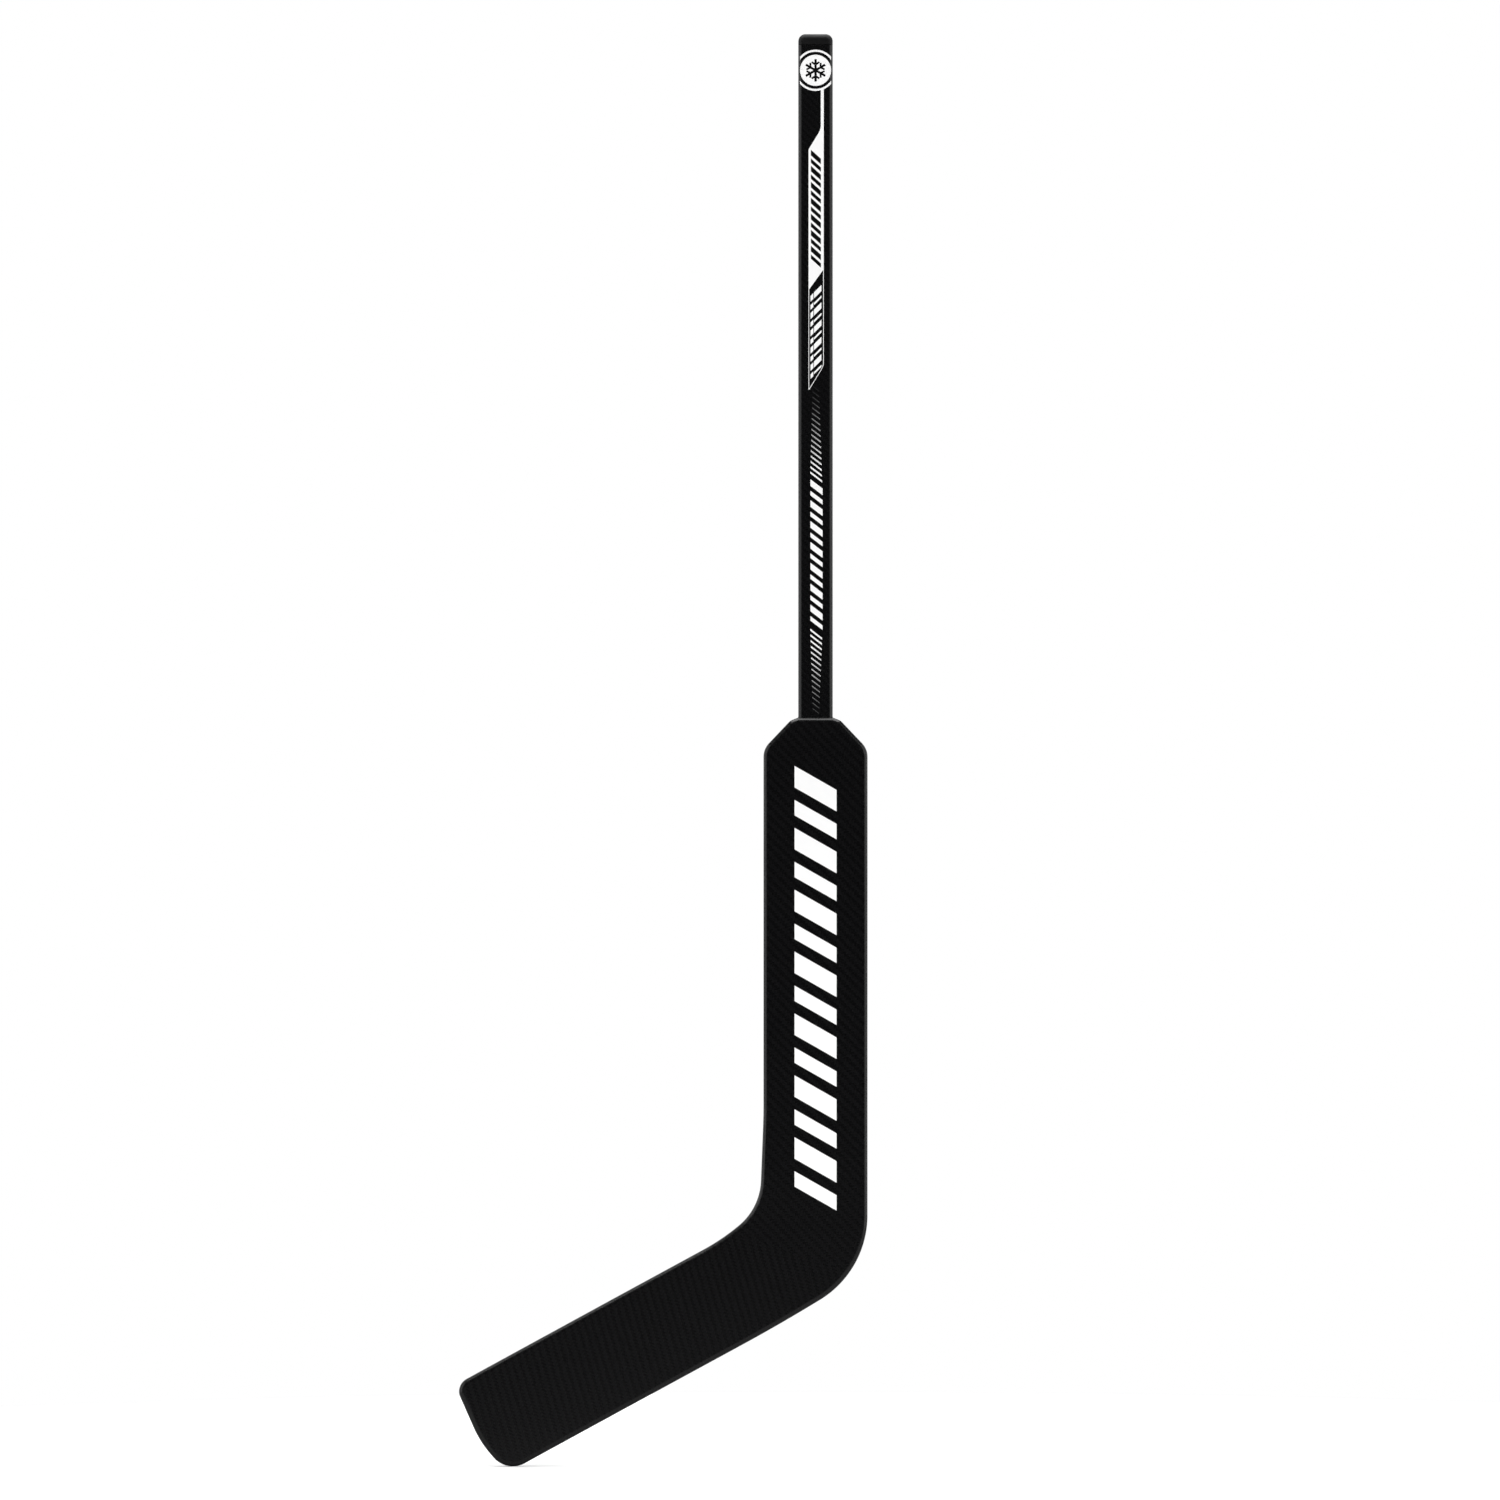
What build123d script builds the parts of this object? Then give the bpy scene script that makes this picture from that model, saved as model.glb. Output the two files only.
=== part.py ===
from build123d import *

import os
from math import cos, radians, sin, tan

# A goalkeeper's ice hockey stick: a hollow shaft bonded into a foam-cored paddle and blade.
#
# Frame, in millimetres: the origin is on the shaft's axis where it enters the paddle's shoulders. +Z runs
# up the shaft, the blade runs towards -X and down, and the front faces look along -Y.
#
# The paddle and the blade share one outer body. It is divided into what a sawn-open stick shows: laminates
# on the front and the back, a rim of edge strips, and the spine, foam, heel block and rib between them.
# Printed films lie on the shaft's and the paddle's flat faces.

# ---- Driving dimensions ----

# Shaft: a rounded rectangular tube
shaft_width = 29.4
shaft_thickness = 20.0
shaft_corner = 4.0
shaft_wall = 1.9
shaft_length = 585.0  # from the shoulders to the very end
socket_depth = 60.0  # how far the tube goes down into the paddle

# Butt plug: a rounded cap whose hollow spigot fills the tube
cap_height = 9.0
cap_corner = 6.0
spigot_length = 34.0
spigot_wall = 2.2
spigot_rib = 1.6
join_chamfer = 0.35  # on the cap's and the tube's edges where they meet, which leaves a fine groove

# Paddle
paddle_width = 89.0
paddle_length = 478.9  # from the shoulders down to where the heel's two straight edges would meet
ledge_width = 43.0  # the shoulders fall slowly out to here, then steeply to the paddle's sides
ledge_drop = 2.65
shoulder_drop = 26.9
shoulder_thickness = 23.6
heel_thickness = 15.0
taper_end = -430.0  # the paddle's faces draw together down to here
taper_blend = 900.0

# Heel and throat
heel_radius = 84.7
heel_rise = 4.8  # the rocker lifts the heel by this much
rocker_middle = 88.8  # along the blade's bottom edge from the heel's corner
rocker_radius = 1500.0
heel_guard_reach = 52.0  # up the paddle's edge and along the blade's, from the heel's corner
throat_corner = (-47.6, -420.6)  # where the paddle's toe side turns into the blade's top edge
flare_start = -341.0

# Blade
lie = radians(28.5)  # how far the blade's edges drop below the horizontal
blade_height = 87.2
blade_length = 358.7  # from the heel's corner to the farthest corner of the toe
throat_end = 95.5  # along the blade, where the throat's curve reaches its top edge
toe_foot = 351.0  # along the blade, where the toe turns up from its bottom edge
toe_rise = 34.2  # height of the toe's farthest corner above the bottom edge
toe_top = 354.3  # along the blade, where the toe meets its top edge
toe_thickness = 8.6
bend_start = 85.0  # the blade is flat up to here, and then bends towards the front
bend_depth = 12.8

# Laminates, edge strips and inner pieces
skin = 1.15
rim_width = 6.0
edge_rounding = 4.0
spine_thickness = 18.0  # at the tube's end, where the tube stands proud of the spine and the foam
block_top = -400.0  # the heel block reaches from here round to block_end along the blade
block_end = 110.0
spine_tenon_rise = 50.0  # above the shoulders, inside the tube
spine_tenon_width = 16.0
spine_tenon_depth = 25.0  # down into the heel block
rib_width = 4.0
rib_tongue = 22.0  # back into the heel block
toe_guard_start = 334.0
seam_gap = 3.0  # from the seam between the paddle's and the blade's laminates to the start of the bend

# Printed films
film = 0.12
print_slope = tan(radians(37.5))  # fall of the slanted marks on the shaft
paddle_slope = tan(radians(29.7))  # and of those on the paddle
roundel_height = 553.9
disc_radius = 13.3
ring_inner_radius = 15.9
ring_outer_radius = 17.6
ring_half_width = 13.3  # the ring is cut off before it reaches the shaft's sides
snowflake_arm = 9.6
snowflake_arm_width = 2.0
snowflake_twig = 4.0
snowflake_twig_width = 1.6
snowflake_fork = 4.8  # from the middle to where the twigs leave an arm
snowflake_twig_turn = 55  # degrees between a twig and its arm
stripe_left = 4.5
stripe_foot = 503.3  # from here the stripe widens to the left,
panel_top = 486.2  # and here it is as wide as the panel
stripe_bend = 14.0
panel_shoulder = 3.0
panel_left = -6.0
panel_right = 7.0
panel_foot_right = 384.6
panel_foot_left = 366.6
frame_foot_right = 300.8
frame_foot_left = 279.5
frame_bend = 12.0
frame_tip = 0.4
frame_line = 0.5

# Columns of slanted bars. first and last are heights of bars' middles at x = 0.
panel_slots = dict(
    left=-4.0, right=4.6, first=479.9, last=390.9, count=14, heavy=4.9, light=3.8, slope=0.9
)
frame_strip = dict(
    left=-4.3, right=-1.9, first=362.6, last=296.0, count=10, heavy=5.0, light=4.0, slope=-1.0
)
frame_blocks = dict(
    left=-1.3, right=5.0, first=362.6, last=296.0, count=10, heavy=5.2, light=2.0, slope=-1.0
)
shaft_marks = dict(
    left=-4.4, right=6.0, first=197.7, last=81.5, count=14, heavy=5.7, light=3.9, slope=print_slope
)
paddle_marks = dict(
    left=-18.0, right=18.0, first=-60.9, last=-405.2, count=14, heavy=18.4, light=13.2, slope=paddle_slope
)

# Hash marks: the height of the mark nearest the bars, the step away from them, and how many there are
hash_pitch = 4.71
hash_runs = ((206.3, hash_pitch, 17), (71.7, -hash_pitch, 15))
nearest_hash = dict(left=-4.5, right=5.6, height=1.7)
farthest_hash = dict(left=-2.4, right=3.0, height=0.8)

# ---- Worked out ----

half_width = paddle_width / 2
heel_corner = (half_width, -paddle_length)
shaft_front = shaft_thickness / 2
shaft_side = shaft_width / 2
tube_top = shaft_length - cap_height
inner_width = shaft_width - 2 * shaft_wall
inner_thickness = shaft_thickness - 2 * shaft_wall
inner_corner = shaft_corner - shaft_wall
taper = (shoulder_thickness - heel_thickness) / 2 / -taper_end
reach = 400.0  # longer than any cut is wide
cut_depth = 100.0  # to the front and to the back, past every face
clear_top = 5.0  # how far the cutting bodies stand above the shoulders
clear_toe = 20.0  # and past the toe


def blade_point(along, up):
    """(x, z) from a distance along the blade's bottom edge and a height above that edge."""
    return (
        heel_corner[0] - along * cos(lie) - up * sin(lie),
        heel_corner[1] - along * sin(lie) + up * cos(lie),
    )


# Its local x runs towards the toe, its local y towards the front, its normal up across the blade.
blade_plane = Plane(
    origin=(heel_corner[0], 0, heel_corner[1]),
    x_dir=(-cos(lie), 0, -sin(lie)),
    z_dir=(-sin(lie), 0, cos(lie)),
)

# Through the heel's corner and the throat. The paddle is above it and the blade is below it.
seam_x, seam_z = blade_point(bend_start - seam_gap, blade_height)
seam_plane = Plane(
    origin=(heel_corner[0], 0, heel_corner[1]),
    x_dir=(seam_x - heel_corner[0], 0, seam_z - heel_corner[1]),
    z_dir=(seam_z - heel_corner[1], 0, heel_corner[0] - seam_x),
)


def seam_point(share):
    """(x, z) on the seam plane, share of the way from the heel's corner to the throat."""
    return (
        heel_corner[0] + share * (seam_x - heel_corner[0]),
        heel_corner[1] + share * (seam_z - heel_corner[1]),
    )


def across(along):
    """A plane across the blade, square to its bottom edge, with its normal towards the toe."""
    x, z = blade_point(along, 0)
    return Plane(origin=(x, 0, z), x_dir=(0, 1, 0), z_dir=(-cos(lie), 0, -sin(lie)))


def save(piece, name):
    """Labels a finished piece and writes it to its own STEP file."""
    piece.part.label = name
    export_step(piece.part, f"parts/{name}.step")


os.makedirs("parts", exist_ok=True)

# ---- Outline of the paddle and the blade, seen from the front ----

# Each corner and its fillet radius, from the shaft down the heel side, round the toe and up again
outline_corners = [
    ((shaft_side, 0), 1.0),
    ((ledge_width / 2, -ledge_drop), 8.5),
    ((half_width, -shoulder_drop), 16.5),
    ((half_width, -paddle_length + heel_rise), heel_radius),
    (blade_point(rocker_middle, 0), rocker_radius),
    (blade_point(toe_foot, 0), 21.9),
    (blade_point(blade_length, toe_rise), 93.6),
    (blade_point(toe_top, blade_height), 12.1),
    (blade_point(throat_end, blade_height), 185.0),
    (throat_corner, 52.2),
    ((-half_width, flare_start), 400.0),
    ((-half_width, -shoulder_drop), 16.5),
    ((-ledge_width / 2, -ledge_drop), 8.5),
    ((-shaft_side, 0), 1.0),
]

with BuildSketch(Plane.XZ) as outline:
    with BuildLine():
        FilletPolyline(
            [corner for corner, _ in outline_corners],
            radius=[radius for _, radius in outline_corners],
            close=True,
        )
    make_face()

with BuildSketch(Plane.XZ) as inner_outline:
    add(outline.sketch)
    offset(amount=-rim_width, mode=Mode.REPLACE)


# ---- Thickness ----


def paddle_slab(top_side, inset):
    """What lies between the paddle's faces, moved inwards by inset, above the seam plane.

    top_side is the front face's side view from the top down to the start of the last straight taper.
    """
    heel = heel_thickness / 2 - inset
    side = [*top_side, (heel, taper_end), (heel, taper_end - reach)]
    radii = [0.0] * len(top_side) + [taper_blend, 0.0]
    with BuildPart() as slab:
        with BuildSketch(Plane.YZ):
            with BuildLine():
                FilletPolyline(
                    side + [(-y, z) for y, z in reversed(side)],
                    radius=radii + radii[::-1],
                    close=True,
                )
            make_face()
        extrude(amount=reach, both=True)
        split(bisect_by=seam_plane, keep=Keep.TOP)
    return slab.part


def blade_slab(inset):
    """What lies between the blade's faces, moved inwards by inset, below the seam plane."""
    heel = heel_thickness / 2 - inset
    end = blade_length + clear_toe
    bend_share = ((end - bend_start) / (blade_length - bend_start)) ** 2
    thinning = (heel_thickness - toe_thickness) / 2
    with BuildPart() as slab:
        with BuildSketch(blade_plane):
            with BuildLine():
                front = TangentArc(
                    (bend_start, heel),
                    (end, heel + (bend_depth - thinning) * bend_share),
                    tangent=(1, 0),
                )
                back = TangentArc(
                    (bend_start, -heel),
                    (end, -heel + (bend_depth + thinning) * bend_share),
                    tangent=(1, 0),
                )
                Line(front @ 1, back @ 1)
                Polyline(front @ 0, (-reach, heel), (-reach, -heel), back @ 0)
            make_face()
        extrude(amount=reach, both=True)
        split(bisect_by=seam_plane, keep=Keep.BOTTOM)
    return slab.part


outer_side = [(shoulder_thickness / 2 + taper * clear_top, clear_top)]
core_side = [(spine_thickness / 2, clear_top), (spine_thickness / 2, -socket_depth)]

with BuildPart() as socket:
    with BuildSketch(Plane.XY.offset(-socket_depth)):
        RectangleRounded(shaft_width, shaft_thickness, shaft_corner)
    extrude(amount=socket_depth + clear_top)

with BuildPart() as thickness:
    add(paddle_slab(outer_side, inset=0.0))
    add(blade_slab(inset=0.0))

with BuildPart() as core_thickness:
    add(paddle_slab(core_side, inset=skin))
    add(blade_slab(inset=skin))

with BuildPart() as body:
    with BuildSketch(Plane.XZ):
        add(outline.sketch)
    extrude(amount=cut_depth, both=True)
    add(thickness.part, mode=Mode.INTERSECT)
    edge_walls = body.faces().filter_by(lambda face: abs(face.normal_at().Y) < 0.01)
    fillet(edge_walls.edges().filter_by(Axis.Y, reverse=True), radius=edge_rounding)
    add(socket.part, mode=Mode.SUBTRACT)

with BuildPart() as core:
    add(body.part)
    add(core_thickness.part, mode=Mode.INTERSECT)

with BuildPart() as rim:
    add(core.part)
    with BuildSketch(Plane.XZ):
        add(inner_outline.sketch)
    extrude(amount=cut_depth, both=True, mode=Mode.SUBTRACT)

with BuildPart() as inside_rim:
    add(core.part)
    add(rim.part, mode=Mode.SUBTRACT)

# ---- Shaft ----

with BuildPart() as shaft_tube:
    with BuildSketch(Plane.XY.offset(-socket_depth)):
        RectangleRounded(shaft_width, shaft_thickness, shaft_corner)
        RectangleRounded(inner_width, inner_thickness, inner_corner, mode=Mode.SUBTRACT)
    extrude(amount=socket_depth + tube_top)
    mouth = shaft_tube.faces().sort_by(Axis.Z)[-1]
    chamfer(mouth.outer_wire().edges(), length=join_chamfer)
save(shaft_tube, "shaft_tube")

with BuildPart() as butt_end_plug:
    with BuildSketch(Plane.XZ) as cap_profile:
        with Locations((0, shaft_length)):
            Rectangle(shaft_width, cap_height, align=(Align.CENTER, Align.MAX))
        fillet(cap_profile.vertices().group_by(Axis.Y)[-1], radius=cap_corner)
    extrude(amount=shaft_front, both=True)
    face_edges = butt_end_plug.faces().filter_by(Axis.Y).edges()
    fillet(face_edges.filter_by(lambda edge: edge.center().Z > tube_top + 0.1), radius=shaft_corner)
    chamfer(butt_end_plug.faces().sort_by(Axis.Z)[0].edges(), length=join_chamfer)
    with BuildSketch(Plane.XY.offset(tube_top)):
        RectangleRounded(inner_width, inner_thickness, inner_corner)
    extrude(amount=-spigot_length)
    with BuildSketch(Plane.XY.offset(tube_top - spigot_length)):
        Rectangle(inner_width - 2 * spigot_wall, inner_thickness - 2 * spigot_wall)
        Rectangle(spigot_rib, inner_thickness, mode=Mode.SUBTRACT)
    extrude(amount=spigot_length, mode=Mode.SUBTRACT)
save(butt_end_plug, "butt_end_plug")

# ---- Paddle: spine, foam, rails ----

with BuildPart() as paddle_spine:
    with BuildSketch(Plane.XZ):
        with Locations((0, -socket_depth)):
            Rectangle(shaft_width, -socket_depth - block_top, align=(Align.CENTER, Align.MAX))
        with Locations((0, block_top)):
            Rectangle(spine_tenon_width, spine_tenon_depth, align=(Align.CENTER, Align.MAX))
    extrude(amount=cut_depth, both=True)
    add(core_thickness.part, mode=Mode.INTERSECT)
    with BuildSketch(Plane.XY.offset(-socket_depth)):
        RectangleRounded(inner_width, inner_thickness, inner_corner)
    extrude(amount=socket_depth + spine_tenon_rise)
save(paddle_spine, "paddle_spine")

for name, side in (("paddle_core_heel_side", 1), ("paddle_core_toe_side", -1)):
    with BuildPart() as paddle_core:
        add(inside_rim.part)
        with BuildSketch(Plane.XZ):
            with BuildLine():
                Polyline(
                    (0, 0),
                    (side * reach, 0),
                    (side * reach, block_top),
                    (side * shaft_side, block_top),
                    (side * shaft_side, -socket_depth),
                    (0, -socket_depth),
                    close=True,
                )
            make_face()
        extrude(amount=cut_depth, both=True, mode=Mode.INTERSECT)
    save(paddle_core, name)

# ---- Heel block, and the blade's foam and rib ----

with BuildPart() as blade_rib:
    add(inside_rim.part)
    split(bisect_by=across(block_end - rib_tongue), keep=Keep.TOP)
    split(bisect_by=blade_plane.offset((blade_height - rib_width) / 2), keep=Keep.TOP)
    split(bisect_by=blade_plane.offset((blade_height + rib_width) / 2), keep=Keep.BOTTOM)
save(blade_rib, "blade_rib")

with BuildPart() as heel_block:
    add(inside_rim.part)
    split(bisect_by=Plane.XY.offset(block_top), keep=Keep.BOTTOM)
    split(bisect_by=across(block_end), keep=Keep.BOTTOM)
    add(paddle_spine.part, mode=Mode.SUBTRACT)
    add(blade_rib.part, mode=Mode.SUBTRACT)
save(heel_block, "heel_block")

with BuildPart() as blade_core_upper:
    add(inside_rim.part)
    split(bisect_by=across(block_end), keep=Keep.TOP)
    split(bisect_by=blade_plane.offset((blade_height + rib_width) / 2), keep=Keep.TOP)
save(blade_core_upper, "blade_core_upper")

with BuildPart() as blade_core_lower:
    add(inside_rim.part)
    split(bisect_by=across(block_end), keep=Keep.TOP)
    split(bisect_by=blade_plane.offset((blade_height - rib_width) / 2), keep=Keep.BOTTOM)
save(blade_core_lower, "blade_core_lower")

# ---- Edge strips: each is the rim inside one region of the front view ----

heel_guard_top = -paddle_length + heel_guard_reach
mid_up = blade_height / 2
below = -blade_height  # clear of the bottom edge
above = 2 * blade_height  # clear of the top edge
past_toe = blade_length + blade_height
seam_middle = seam_point(0.5)
past_throat = seam_point(3.0)

rim_regions = {
    "paddle_rail_heel_side": [
        (0, clear_top),
        (reach, clear_top),
        (reach, heel_guard_top),
        (0, heel_guard_top),
    ],
    "paddle_rail_toe_side": [(0, clear_top), (-reach, clear_top), past_throat, seam_middle],
    "heel_guard": [
        (0, heel_guard_top),
        (reach, heel_guard_top),
        (reach, -2 * reach),
        blade_point(heel_guard_reach, -reach),
        blade_point(heel_guard_reach, mid_up),
    ],
    "blade_wear_strip": [
        blade_point(heel_guard_reach, mid_up),
        blade_point(heel_guard_reach, below),
        blade_point(toe_guard_start, below),
        blade_point(toe_guard_start, mid_up),
    ],
    "toe_guard": [
        blade_point(toe_guard_start, below),
        blade_point(past_toe, below),
        blade_point(past_toe, above),
        blade_point(toe_guard_start, above),
    ],
    "blade_top_rail": [
        seam_middle,
        past_throat,
        blade_point(toe_guard_start, above),
        blade_point(toe_guard_start, mid_up),
    ],
}

for name, corners in rim_regions.items():
    with BuildPart() as strip:
        add(rim.part)
        with BuildSketch(Plane.XZ):
            with BuildLine():
                Polyline(*corners, close=True)
            make_face()
        extrude(amount=cut_depth, both=True, mode=Mode.INTERSECT)
    save(strip, name)

# ---- Laminates ----

for name, half in (("paddle_skin", Keep.TOP), ("blade_skin", Keep.BOTTOM)):
    with BuildPart() as skins:
        add(body.part)
        add(core_thickness.part, mode=Mode.SUBTRACT)
        split(bisect_by=seam_plane, keep=half)
    for side, laminate in zip(("front", "back"), skins.solids().sort_by(Axis.Y)):
        with BuildPart() as skin_piece:
            add(laminate)
        save(skin_piece, f"{name}_{side}")


# ---- Printed films ----


def slanted_bar(left, right, middle, height, slope):
    """Corners of a bar with upright ends. It falls to the right by slope, through middle at x = 0."""
    left_middle = middle - slope * left
    right_middle = middle - slope * right
    return [
        (left, left_middle + height / 2),
        (right, right_middle + height / 2),
        (right, right_middle - height / 2),
        (left, left_middle - height / 2),
    ]


def column(left, right, first, last, count, heavy, light, slope):
    """A column of slanted bars, a heavy and a light one in turn, evenly spaced."""
    spacing = (first - last) / (count - 1)
    return [
        slanted_bar(left, right, first - spacing * step, light if step % 2 else heavy, slope)
        for step in range(count)
    ]


def save_on_both_sides(piece, name):
    """Writes a film, and its twin turned half round the shaft's axis."""
    save(piece, f"{name}_front")
    with BuildPart() as twin:
        add(piece.part, rotation=(0, 0, 180))
    save(twin, f"{name}_back")


shaft_face = Plane.XZ.offset(shaft_front)

# Near the top: a disc with a snowflake left out of it, in a ring that wraps on to the rounded edges
with BuildPart() as roundel:
    with BuildSketch(Plane.XY.offset(roundel_height - ring_outer_radius)):
        RectangleRounded(shaft_width + 2 * film, shaft_thickness + 2 * film, shaft_corner + film)
        RectangleRounded(shaft_width, shaft_thickness, shaft_corner, mode=Mode.SUBTRACT)
    extrude(amount=2 * ring_outer_radius)
    with BuildSketch(Plane.XZ):
        with Locations((0, roundel_height)):
            Circle(ring_outer_radius)
            Circle(ring_inner_radius, mode=Mode.SUBTRACT)
            Rectangle(2 * ring_half_width, 3 * ring_outer_radius, mode=Mode.INTERSECT)
            Circle(disc_radius)
            with PolarLocations(0, 6, start_angle=30):
                Rectangle(
                    snowflake_arm,
                    snowflake_arm_width,
                    align=(Align.MIN, Align.CENTER),
                    mode=Mode.SUBTRACT,
                )
            for turn in (-snowflake_twig_turn, snowflake_twig_turn):
                with PolarLocations(snowflake_fork, 6, start_angle=30):
                    Rectangle(
                        snowflake_twig,
                        snowflake_twig_width,
                        rotation=turn,
                        align=(Align.MIN, Align.CENTER),
                        mode=Mode.SUBTRACT,
                    )
    extrude(amount=shaft_thickness, mode=Mode.INTERSECT)
save_on_both_sides(roundel, "roundel_film")

# Below it: a stripe that widens into a panel with slanted slots and a slanted foot
with BuildPart() as panel:
    with BuildSketch(shaft_face):
        with BuildLine():
            FilletPolyline(
                (stripe_left, roundel_height),
                (stripe_left, stripe_foot),
                (panel_left, panel_top),
                (panel_left, panel_foot_left),
                (panel_right, panel_foot_right),
                (panel_right, roundel_height),
                radius=[0, stripe_bend, panel_shoulder, 0, 0, 0],
                close=True,
            )
        make_face()
        with Locations((0, roundel_height)):
            Circle(ring_outer_radius, mode=Mode.SUBTRACT)
        for corners in column(**panel_slots):
            Polygon(*corners, mode=Mode.SUBTRACT)
    extrude(amount=film)
save_on_both_sides(panel, "shaft_panel_film")

# Below the panel: a thin line round two columns of blocks
with BuildPart() as frame:
    with BuildSketch(shaft_face):
        with BuildLine():
            FilletPolyline(
                (panel_left, panel_foot_left),
                (panel_right, panel_foot_right),
                (panel_right, frame_foot_right),
                (panel_left, frame_foot_left),
                radius=[0, 0, frame_bend, frame_tip],
                close=True,
            )
        make_face()
        offset(amount=-frame_line, kind=Kind.INTERSECTION, mode=Mode.SUBTRACT)
        for corners in column(**frame_strip) + column(**frame_blocks):
            Polygon(*corners)
    extrude(amount=film)
save_on_both_sides(frame, "shaft_frame_film")

# Down the lower half: slanted hash marks that shrink away from the heavier bars in the middle
hash_marks = []
for nearest, pitch, count in hash_runs:
    for step in range(count):
        share = step / (count - 1)
        size = {key: near + share * (farthest_hash[key] - near) for key, near in nearest_hash.items()}
        hash_marks.append(slanted_bar(middle=nearest + pitch * step, slope=print_slope, **size))

with BuildPart() as hashes:
    with BuildSketch(shaft_face):
        for corners in hash_marks:
            Polygon(*corners)
    extrude(amount=film)
save_on_both_sides(hashes, "shaft_hash_film")

with BuildPart() as shaft_bars:
    with BuildSketch(shaft_face):
        for corners in column(**shaft_marks):
            Polygon(*corners)
    extrude(amount=film)
save_on_both_sides(shaft_bars, "shaft_bars_film")

# On the paddle: a column of large slanted bars
paddle_face = Plane(origin=(0, -shoulder_thickness / 2, 0), x_dir=(1, 0, 0), z_dir=(0, -1, -taper))
with BuildPart() as paddle_bars:
    with BuildSketch(paddle_face):
        for corners in column(**paddle_marks):
            Polygon(*corners)
    extrude(amount=film)
save_on_both_sides(paddle_bars, "paddle_bars_film")
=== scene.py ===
"""Looks for the goalkeeper's ice hockey stick: materials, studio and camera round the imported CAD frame.

Everything is in metres in the row frame: +Z up the shaft, the blade towards -X, the front towards -Y.
"""

from math import cos, pi, radians, sin, sqrt

import bpy
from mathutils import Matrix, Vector


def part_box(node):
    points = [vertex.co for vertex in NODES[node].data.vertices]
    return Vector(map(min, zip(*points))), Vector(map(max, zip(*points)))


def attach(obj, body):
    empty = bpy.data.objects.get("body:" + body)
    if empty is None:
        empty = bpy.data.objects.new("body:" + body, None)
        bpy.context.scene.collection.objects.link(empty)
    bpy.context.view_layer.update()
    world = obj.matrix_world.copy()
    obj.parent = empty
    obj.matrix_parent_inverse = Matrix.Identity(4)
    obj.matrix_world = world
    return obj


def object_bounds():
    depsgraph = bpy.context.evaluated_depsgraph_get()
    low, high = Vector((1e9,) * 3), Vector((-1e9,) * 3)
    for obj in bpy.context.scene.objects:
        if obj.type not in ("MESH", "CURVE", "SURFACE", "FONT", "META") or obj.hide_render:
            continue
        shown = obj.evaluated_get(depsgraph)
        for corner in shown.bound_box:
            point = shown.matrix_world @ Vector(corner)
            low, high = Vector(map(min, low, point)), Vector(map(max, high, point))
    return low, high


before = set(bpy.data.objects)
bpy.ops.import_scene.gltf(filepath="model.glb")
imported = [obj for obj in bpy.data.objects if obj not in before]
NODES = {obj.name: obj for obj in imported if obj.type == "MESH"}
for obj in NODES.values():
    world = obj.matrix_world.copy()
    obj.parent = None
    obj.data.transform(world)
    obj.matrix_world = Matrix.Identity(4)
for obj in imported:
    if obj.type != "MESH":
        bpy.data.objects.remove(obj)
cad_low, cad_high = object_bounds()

MM = 0.001
LIE = radians(28.5)  # how far the blade's edges drop below the horizontal

# ---- Camera: a long lens level with the middle of the stick ----

VIEW_WIDTH = 1.2849  # at the stick
VIEW_CENTRE = Vector((-0.0561, 0.0, -0.0278))
LENS = 300.0
SENSOR = 36.0

camera_data = bpy.data.cameras.new("camera")
camera_data.lens = LENS
camera_data.sensor_width = SENSOR
camera_data.clip_start = 0.1
camera_data.clip_end = 200.0
camera = bpy.data.objects.new("camera", camera_data)
camera.location = VIEW_CENTRE - Vector((0, VIEW_WIDTH * LENS / SENSOR, 0))
camera.rotation_euler = (pi / 2, 0, 0)
bpy.context.scene.collection.objects.link(camera)
bpy.context.scene.camera = camera


# ---- Node helpers ----


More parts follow.
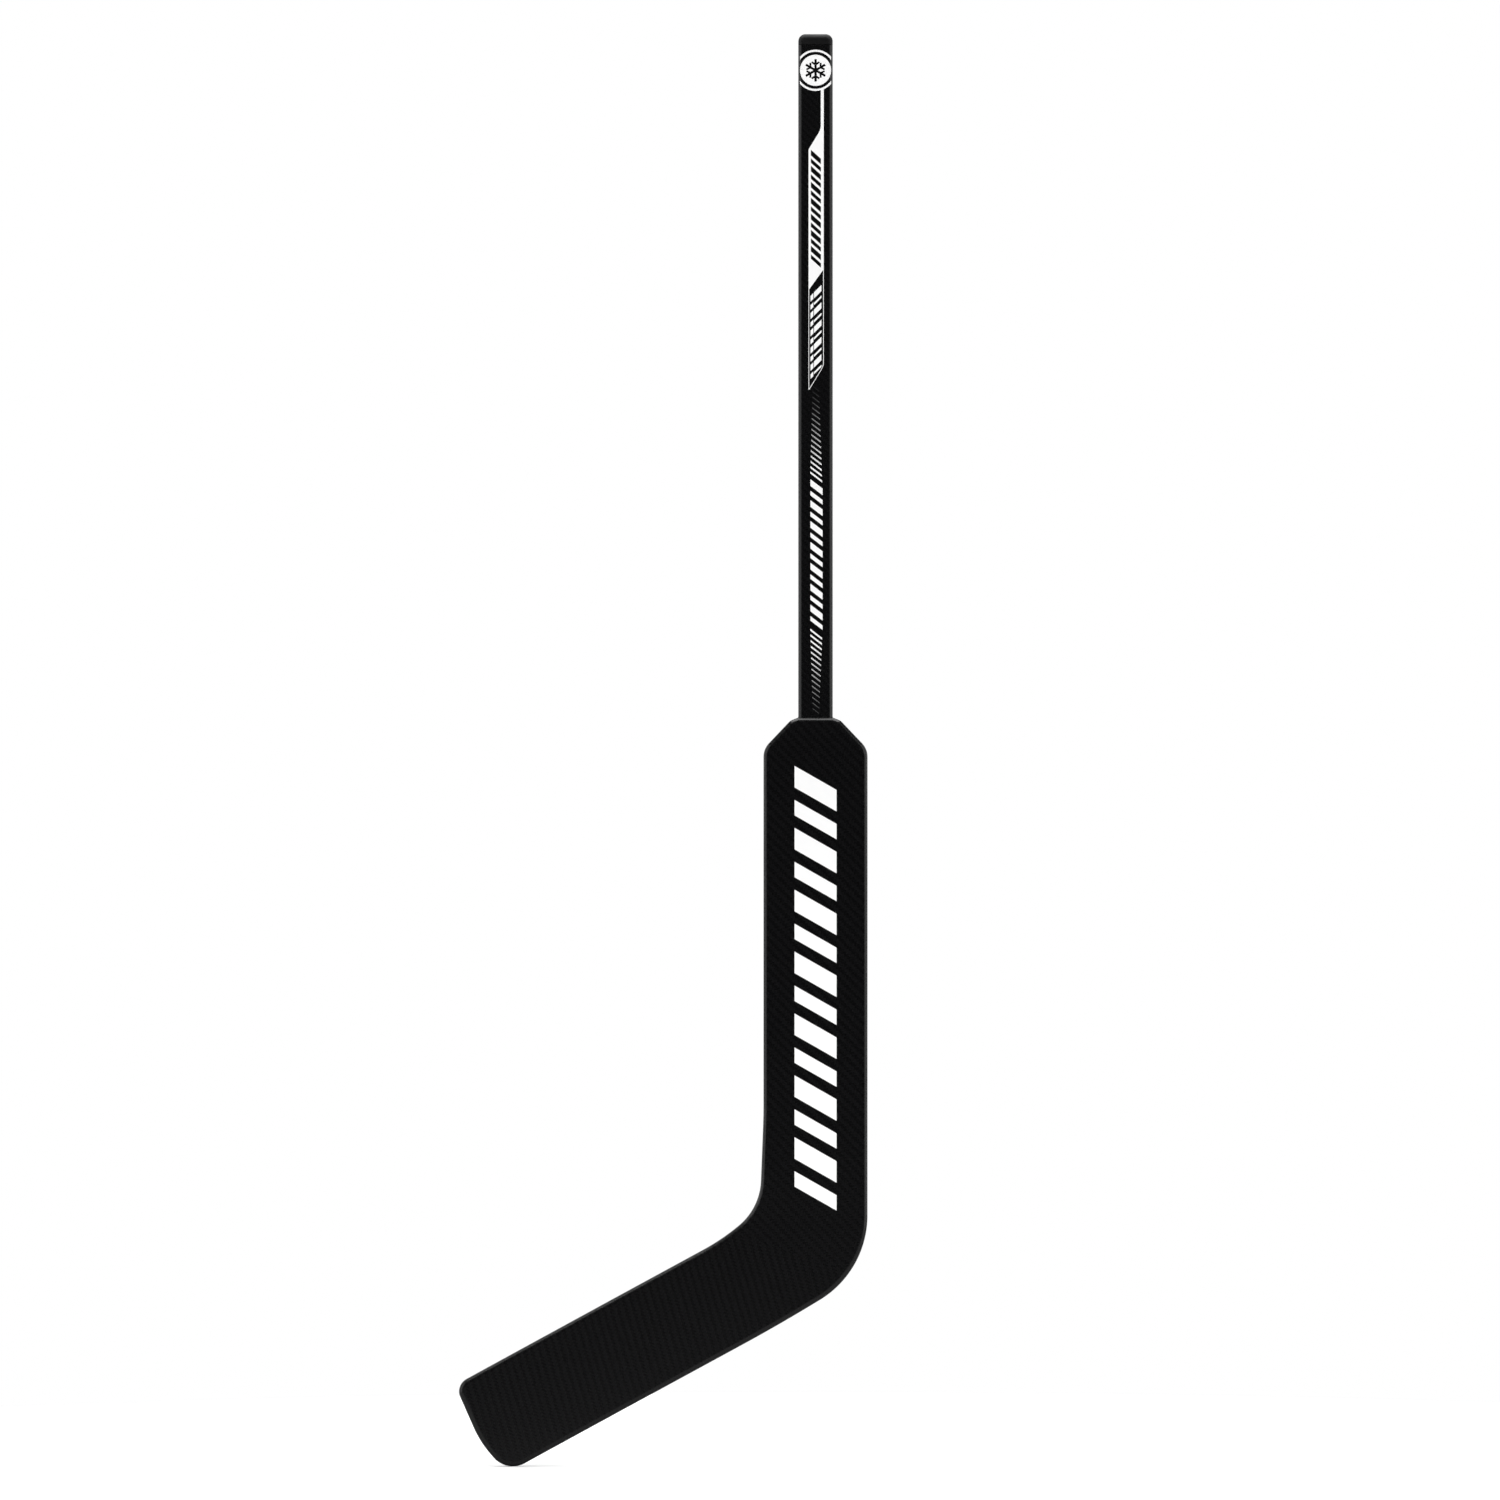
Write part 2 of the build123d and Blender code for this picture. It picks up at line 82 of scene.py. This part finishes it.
class Material:
    """A material under construction: every method adds a node and returns its output socket."""

    def __init__(self, name):
        self.material = bpy.data.materials.new(name)
        self.material.use_nodes = True
        self.tree = self.material.node_tree
        self.shader = self.tree.nodes["Principled BSDF"]

    def node(self, kind, inputs, output=0, **settings):
        """A node of this kind. inputs maps its sockets to values or to other nodes' outputs."""
        made = self.tree.nodes.new(kind)
        for name, value in settings.items():
            setattr(made, name, value)
        for name, value in inputs.items():
            self.put(made.inputs[name], value)
        return made.outputs[output]

    def put(self, socket, value):
        if isinstance(value, bpy.types.NodeSocket):
            self.tree.links.new(value, socket)
        else:
            socket.default_value = value

    def set(self, **values):
        """Sets the Principled shader's sockets, named with underscores for spaces."""
        for name, value in values.items():
            self.put(self.shader.inputs[name.replace("_", " ")], value)

    def math(self, operation, a, b=0.0, clamp=False):
        return self.node("ShaderNodeMath", {0: a, 1: b}, operation=operation, use_clamp=clamp)

    def turned(self, vector, angle):
        """vector turned about the Y axis."""
        inputs = {"Vector": vector, "Angle": angle}
        return self.node("ShaderNodeVectorRotate", inputs, rotation_type="Y_AXIS")

    def position(self, scale=(1000, 1000, 1000), turn=0.0):
        """Turned row-frame position times scale, which leaves it in millimetres where none is given."""
        where = self.turned(self.node("ShaderNodeTexCoord", {}, output="Object"), turn)
        return self.node("ShaderNodeVectorMath", {0: where, 1: scale}, operation="MULTIPLY")

    def split(self, vector):
        made = self.tree.nodes.new("ShaderNodeSeparateXYZ")
        self.tree.links.new(vector, made.inputs[0])
        return made.outputs

    def switch(self, direction, low, high):
        """high where direction, a part of the face's normal, is over the sine of 45 degrees, or low."""
        past = self.math("GREATER_THAN", self.math("ABSOLUTE", direction), sin(pi / 4))
        return self.math("ADD", low, self.math("MULTIPLY", past, self.math("SUBTRACT", high, low)))

    def noise(self, vector, scale, detail=2.0, roughness=0.5):
        inputs = {"Vector": vector, "Scale": scale, "Detail": detail, "Roughness": roughness}
        return self.node("ShaderNodeTexNoise", inputs, output="Fac")

    def span(self, value, low, high, to_low=0.0, to_high=1.0, kind="SMOOTHSTEP"):
        """value from low..high on to to_low..to_high, clamped."""
        inputs = {"Value": value, "From Min": low, "From Max": high, "To Min": to_low, "To Max": to_high}
        return self.node("ShaderNodeMapRange", inputs, interpolation_type=kind)

    def colours(self, factor, a, b):
        """A mix of two colours, each an RGB triple or a socket."""
        mix = self.tree.nodes.new("ShaderNodeMix")
        mix.data_type = "RGBA"
        self.put(mix.inputs[0], factor)
        for socket, colour in ((mix.inputs[6], a), (mix.inputs[7], b)):
            self.put(socket, (*colour, 1) if isinstance(colour, tuple) else colour)
        return mix.outputs[2]

    def bump(self, height, strength, distance, normal=None):
        inputs = {"Height": height, "Strength": strength, "Distance": distance}
        if normal is not None:
            inputs["Normal"] = normal
        return self.node("ShaderNodeBump", inputs)


def dress(material, *names):
    """Gives a material to CAD nodes."""
    for name in names:
        for slot in NODES[name].material_slots:
            slot.material = material


# ---- Materials ----

DEEP_BLACK = (0.0012, 0.0012, 0.0014)
SOFT_BLACK = (0.0026, 0.0026, 0.0029)
SCUFFED_BLACK = (0.016, 0.016, 0.017)
LIGHT_WOOD = (0.70, 0.54, 0.34)
DARK_WOOD = (0.50, 0.35, 0.19)
PALE_FOAM = (0.78, 0.70, 0.50)
DARK_FOAM = (0.66, 0.56, 0.36)
SOFT_WHITE = (0.84, 0.84, 0.84)
CLEAN_WHITE = (0.87, 0.87, 0.865)

FIBRE_LINES = 9.0  # across one tow

# The hash marks are full white up to FADE_ABOVE's first height and down to FADE_BELOW's, in millimetres.
# From there they die away towards the second one, to this much before the fade's power is taken.
FADE_ABOVE = (213, 284)
FADE_BELOW = (60, 2)
LEFT_ABOVE = 0.06
LEFT_BELOW = 0.17
FADE_POWER = 2.2


def face_coordinates(m, turn=0.0):
    """(across, along) in millimetres on each face, by the way it looks. along runs up the turned piece."""
    x, y, z = m.split(m.position(turn=turn))
    looks = m.node("ShaderNodeNewGeometry", {}, output="True Normal")
    to_side, _, to_end = m.split(m.turned(looks, turn))
    return m.switch(to_side, x, y), m.switch(to_end, z, y)


def twill(m, across, along, tow):
    """(crowns, fibres, warp_on_top) of a 2/2 twill weave, whose ridges run at 45 degrees.

    tow is a tow's width in millimetres. crowns are the rounded tows, and fibres are the fine lines in them.
    """
    u = m.math("DIVIDE", across, tow)
    v = m.math("DIVIDE", along, tow)
    cell = m.math("ADD", m.math("FLOOR", u), m.math("FLOOR", v))
    step = m.math("FLOORED_MODULO", cell, 4.0)
    warp_on_top = m.math("LESS_THAN", step, 2.0)
    weft_on_top = m.math("SUBTRACT", 1.0, warp_on_top)
    layers = []
    for over, across_tow, along_tow in ((warp_on_top, u, v), (weft_on_top, v, u)):
        crown = m.math("SINE", m.math("MULTIPLY", m.math("FRACT", across_tow), pi))
        stretched = m.math("MULTIPLY", across_tow, FIBRE_LINES)
        lines = m.noise(m.node("ShaderNodeCombineXYZ", {"X": stretched, "Y": along_tow}), 1.0)
        layers.append((m.math("MULTIPLY", crown, over), m.math("MULTIPLY", lines, over)))
    (warp_crown, warp_fibres), (weft_crown, weft_fibres) = layers
    return m.math("ADD", warp_crown, weft_crown), m.math("ADD", warp_fibres, weft_fibres), warp_on_top


def carbon(name, tow, turn, weave):
    """Black composite: a twill weave under a clear coat with orange peel, its warp tows painted a little
    lighter than the weft ones as a painted sheen.

    tow is a tow's width in millimetres, and weave, from 0 to 1, is how strongly the weave shows, including
    how much lighter the warp tows' painted sheen is.
    """
    m = Material(name)
    across, along = face_coordinates(m, turn)
    crowns, fibres, warp_on_top = twill(m, across, along, tow)
    place = m.position()
    cloud = m.noise(place, 0.035, detail=3.0)
    peel = m.noise(place, 0.55, detail=1.0)
    # Painted sheen: the warp tows get a lighter base colour standing in for the glint of their fibres, and
    # the cloud adds a random tone.
    tone = m.math("MULTIPLY", warp_on_top, weave)
    tone = m.math("ADD", tone, m.math("MULTIPLY", cloud, 0.35), clamp=True)
    satin = m.span(fibres, 0.3, 0.7, 0.20, 0.29)
    m.set(
        Base_Color=m.colours(tone, DEEP_BLACK, SOFT_BLACK),
        Roughness=m.math("ADD", satin, m.math("MULTIPLY", warp_on_top, 0.10 * weave)),
        Specular_IOR_Level=0.22,
        Coat_Weight=0.35,
        Coat_Roughness=0.12,
    )
    woven = m.bump(crowns, 0.6 * weave, 0.12 * MM)
    peeled = m.bump(peel, 0.12, 0.25 * MM, normal=woven)
    m.set(Normal=m.bump(fibres, 0.25, 0.03 * MM, normal=peeled))
    return m.material


def moulded(name, stipple, roughness):
    """Matte black moulded plastic with a fine stipple and faint scuffs along the blade.

    stipple is the width of one of its dots in millimetres.
    """
    m = Material(name)
    place = m.position()
    fine = m.node("ShaderNodeTexVoronoi", {"Vector": place, "Scale": 1 / stipple}, output="Distance")
    cloud = m.noise(place, 0.06, detail=3.0)
    uneven = m.span(cloud, 0.35, 0.65, roughness - 0.05, roughness + 0.06)
    scuffs = m.noise(m.position(scale=(60, 900, 900), turn=-LIE), 1.0, detail=4.0, roughness=0.7)
    worn = m.span(scuffs, 0.60, 0.74)
    m.set(
        Base_Color=m.colours(m.math("MULTIPLY", worn, 0.5), DEEP_BLACK, SCUFFED_BLACK),
        Roughness=m.math("ADD", uneven, m.math("MULTIPLY", worn, 0.12)),
        Specular_IOR_Level=0.3,
    )
    stippled = m.bump(fine, 0.8, 0.10 * MM)
    m.set(Normal=m.bump(scuffs, 0.1, 0.05 * MM, normal=stippled))
    return m.material


def lacquered_rail(name, turn):
    """Black lacquer over a laminated wooden edge strip: the grain shows only as fine ridges along it."""
    m = Material(name)
    grain = m.noise(m.position(scale=(1400, 1400, 40), turn=turn), 1.0, detail=5.0, roughness=0.65)
    place = m.position()
    cloud = m.noise(place, 0.05, detail=3.0)
    plies = m.math("PINGPONG", m.split(place)[1], 1.6)
    m.set(
        Base_Color=m.colours(cloud, DEEP_BLACK, SOFT_BLACK),
        Roughness=m.span(grain, 0.3, 0.7, 0.36, 0.50),
        Specular_IOR_Level=0.32,
        Coat_Weight=0.15,
        Coat_Roughness=0.25,
    )
    ridged = m.bump(grain, 0.3, 0.05 * MM)
    m.set(Normal=m.bump(m.span(plies, 0.0, 0.25), 0.25, 0.03 * MM, normal=ridged))
    return m.material


def epoxy(name):
    """Cured black adhesive: glossy, a little uneven, with a few pinholes."""
    m = Material(name)
    place = m.position()
    waves = m.noise(place, 0.5, detail=2.0)
    holes = m.span(m.noise(place, 3.0, detail=1.0), 0.68, 0.75)
    m.set(
        Base_Color=m.colours(waves, DEEP_BLACK, SOFT_BLACK),
        Roughness=m.span(waves, 0.3, 0.7, 0.16, 0.28),
        Specular_IOR_Level=0.3,
        Normal=m.bump(m.math("SUBTRACT", waves, holes), 0.3, 0.1 * MM),
    )
    return m.material


def wood(name):
    """Bare light wood for the sealed inner pieces, with its grain up the stick."""
    m = Material(name)
    place = m.position(scale=(220, 220, 12))
    rings = m.noise(place, 1.0, detail=4.0, roughness=0.6)
    pores = m.noise(m.position(scale=(1800, 1800, 60)), 1.0, detail=3.0)
    tone = m.span(m.math("ADD", rings, m.math("MULTIPLY", pores, 0.4)), 0.45, 0.95)
    m.set(
        Base_Color=m.colours(tone, LIGHT_WOOD, DARK_WOOD),
        Roughness=m.span(pores, 0.3, 0.7, 0.55, 0.7),
        Normal=m.bump(pores, 0.4, 0.1 * MM),
    )
    return m.material


def foam(name):
    """Rigid closed-cell foam for the sealed cores."""
    m = Material(name)
    place = m.position()
    cells = m.node("ShaderNodeTexVoronoi", {"Vector": place, "Scale": 1.4}, output="Distance")
    cloud = m.noise(place, 0.08, detail=3.0)
    m.set(
        Base_Color=m.colours(cloud, PALE_FOAM, DARK_FOAM),
        Roughness=m.span(cells, 0.1, 0.6, 0.75, 0.9),
        Normal=m.bump(cells, 0.6, 0.3 * MM),
    )
    return m.material


def white_ink(name, fade=False):
    """Satin white screen print with a fine tooth. With fade, it dies away up and down the hash marks."""
    m = Material(name)
    place = m.position()
    tooth = m.noise(place, 5.0, detail=3.0)
    cloud = m.noise(place, 0.09, detail=2.0)
    white = m.colours(cloud, SOFT_WHITE, CLEAN_WHITE)
    if fade:
        height = m.split(place)[2]
        above = m.span(height, *FADE_ABOVE, 1.0, LEFT_ABOVE, kind="LINEAR")
        below = m.span(height, *FADE_BELOW, 1.0, LEFT_BELOW, kind="LINEAR")
        strength = m.math("POWER", m.math("MINIMUM", above, below), FADE_POWER)
        white = m.colours(strength, DEEP_BLACK, white)
    m.set(
        Base_Color=white,
        Roughness=m.span(tooth, 0.3, 0.7, 0.38, 0.5),
        Specular_IOR_Level=0.4,
        Normal=m.bump(tooth, 0.2, 0.02 * MM),
    )
    return m.material


dress(carbon("shaft_carbon", tow=1.6, turn=0.0, weave=0.5), "shaft_tube")
dress(
    carbon("paddle_laminate", tow=2.2, turn=0.0, weave=0.6),
    "paddle_skin_front", "paddle_skin_back",
)
dress(
    carbon("blade_laminate", tow=2.2, turn=-LIE, weave=0.6),
    "blade_skin_front", "blade_skin_back",
)
dress(moulded("moulded_plug", stipple=0.55, roughness=0.55), "butt_end_plug")
dress(
    moulded("edge_guard", stipple=0.8, roughness=0.5),
    "heel_guard", "toe_guard", "blade_wear_strip",
)
dress(lacquered_rail("paddle_edge_rail", turn=0.0), "paddle_rail_heel_side", "paddle_rail_toe_side")
dress(lacquered_rail("blade_edge_rail", turn=pi / 2 - LIE), "blade_top_rail")
dress(wood("wood_core"), "paddle_spine", "heel_block", "blade_rib")
dress(
    foam("foam_core"),
    "paddle_core_heel_side", "paddle_core_toe_side", "blade_core_upper", "blade_core_lower",
)
FILMS = [name for name in NODES if "_film_" in name]
dress(white_ink("white_print"), *[name for name in FILMS if "hash" not in name])
dress(white_ink("white_print_fading", fade=True), *[name for name in FILMS if "hash" in name])

# ---- Adhesive bead where the shaft enters the paddle ----

SHAFT_CORNER = 4.0 * MM
EDGE_ROUNDING = 4.0 * MM
LEDGE_SLOPE = 0.39  # fall of the shoulders beside the shaft
BEAD_SIZE = 0.9 * MM
BEAD_SINK = 0.2 * MM  # how far the bead goes into the shaft and the paddle
BEAD_STEPS = 8

tube_low, tube_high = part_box("shaft_tube")
paddle_low, paddle_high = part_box("paddle_skin_front")


def round_the_shaft():
    """(point, outward normal) pairs round the shaft, seen along its axis."""
    ring = []
    for quarter, (side, face) in enumerate(((1, 1), (-1, 1), (-1, -1), (1, -1))):
        centre = Vector((side * (tube_high.x - SHAFT_CORNER), face * (tube_high.y - SHAFT_CORNER)))
        for step in range(BEAD_STEPS + 1):
            angle = (quarter + step / BEAD_STEPS) * pi / 2
            normal = Vector((cos(angle), sin(angle)))
            ring.append((centre + SHAFT_CORNER * normal, normal))
    return ring


def shoulder_height(point):
    """Height of the paddle's top, which falls away at its rounded edges and along its ledges."""
    past_flat = max(0.0, abs(point.y) + paddle_low.y + EDGE_ROUNDING)
    ledge = LEDGE_SLOPE * max(0.0, abs(point.x) - tube_high.x)
    return paddle_high.z - EDGE_ROUNDING + sqrt(EDGE_ROUNDING**2 - past_flat**2) - ledge


def make_bead():
    """A ring with a hollow fillet for a section, whose other three sides are sunk into the stick."""
    angles = [pi / 2 * step / BEAD_STEPS for step in range(BEAD_STEPS + 1)]
    section = [(BEAD_SIZE * (1 - cos(a)), BEAD_SIZE * (1 - sin(a))) for a in angles]
    section += [(BEAD_SIZE, -BEAD_SINK), (-BEAD_SINK, -BEAD_SINK), (-BEAD_SINK, BEAD_SIZE)]
    ring = round_the_shaft()
    corners = []
    for point, normal in ring:
        for out, up in section:
            place = point + out * normal
            corners.append((place.x, place.y, shoulder_height(place) + up))
    count = len(section)
    faces = []
    for i in range(len(ring)):
        here, there = i * count, (i + 1) % len(ring) * count
        for j in range(count):
            k = (j + 1) % count
            faces.append((here + j, here + k, there + k, there + j))
    mesh = bpy.data.meshes.new("shoulder_glue_bead")
    mesh.from_pydata(corners, [], faces)
    mesh.polygons.foreach_set("use_smooth", [j % count < BEAD_STEPS for j in range(len(faces))])
    mesh.materials.append(epoxy("adhesive"))
    bead = bpy.data.objects.new("shoulder_glue_bead", mesh)
    bpy.context.scene.collection.objects.link(bead)
    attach(bead, "root")


make_bead()

# ---- Studio ----

FLOOR_RADIUS = 1.2
FLOOR_SIDES = 96
FLOOR_PALE = (0.90, 0.90, 0.90)
FLOOR_PALER = (0.92, 0.92, 0.92)
FLOOR_IN_GLOSS = (0.35, 0.35, 0.35)
ROOM_LIGHT = 0.05
ROOM_TO_CAMERA = 1.0


def floor_material():
    """Pale, and dimmer where the stick's gloss mirrors it, as under a polarising filter."""
    m = Material("studio_floor")
    cloud = m.noise(m.position(scale=(1, 1, 1)), 3.0)
    pale = m.colours(cloud, FLOOR_PALE, FLOOR_PALER)
    in_gloss = m.node("ShaderNodeLightPath", {}, output="Is Glossy Ray")
    m.set(Base_Color=m.colours(in_gloss, pale, FLOOR_IN_GLOSS), Roughness=0.9)
    return m.material


def make_floor():
    """A disc at the foot of the stick."""
    angles = [2 * pi * i / FLOOR_SIDES for i in range(FLOOR_SIDES)]
    corners = [(FLOOR_RADIUS * cos(a), FLOOR_RADIUS * sin(a), cad_low.z) for a in angles]
    mesh = bpy.data.meshes.new("floor")
    mesh.from_pydata(corners, [], [list(range(FLOOR_SIDES))])
    mesh.materials.append(floor_material())
    floor = bpy.data.objects.new("floor", mesh)
    bpy.context.scene.collection.objects.link(floor)


def softbox(name, azimuth, elevation, distance, size, power, mirrored=True):
    """A large area light aimed at the stick's middle. Azimuth 0 is in front, and positive is to the right.

    size is (width, height). One that isn't mirrored lights the white print with no glare on the black.
    """
    light = bpy.data.lights.new(name, "AREA")
    light.shape = "RECTANGLE"
    light.size, light.size_y = size
    light.energy = power
    lamp = bpy.data.objects.new(name, light)
    a, e = radians(azimuth), radians(elevation)
    away = Vector((sin(a) * cos(e), -cos(a) * cos(e), sin(e)))
    lamp.location = VIEW_CENTRE + away * distance
    lamp.rotation_mode = "QUATERNION"
    lamp.rotation_quaternion = away.to_track_quat("Z", "Y")
    lamp.visible_camera = False
    lamp.visible_glossy = mirrored
    bpy.context.scene.collection.objects.link(lamp)


def make_world():
    """White to the camera, and a dim even room to everything else."""
    world = bpy.data.worlds.new("studio")
    world.use_nodes = True
    tree = world.node_tree
    background = tree.nodes["Background"]
    path = tree.nodes.new("ShaderNodeLightPath")
    level = tree.nodes.new("ShaderNodeMapRange")
    level.inputs["To Min"].default_value = ROOM_LIGHT
    level.inputs["To Max"].default_value = ROOM_TO_CAMERA
    tree.links.new(path.outputs["Is Camera Ray"], level.inputs["Value"])
    tree.links.new(level.outputs[0], background.inputs["Strength"])
    background.inputs["Color"].default_value = (1, 1, 1, 1)
    bpy.context.scene.world = world


make_floor()
make_world()
for name, azimuth in (("front", 0), ("back", 180)):
    softbox(f"{name}_fill", azimuth, elevation=15, distance=3.2, size=(2.0, 2.0), power=47, mirrored=False)
    for side in (-64, 64):
        softbox(
            f"{name}_softbox_{side}", azimuth + side,
            elevation=10, distance=3.2, size=(2.0, 3.2), power=30,
        )
softbox("overhead_softbox", azimuth=0, elevation=90, distance=2.8, size=(3.6, 3.6), power=165)

bpy.context.scene.view_settings.view_transform = "Standard"
bpy.context.scene.view_settings.look = "None"
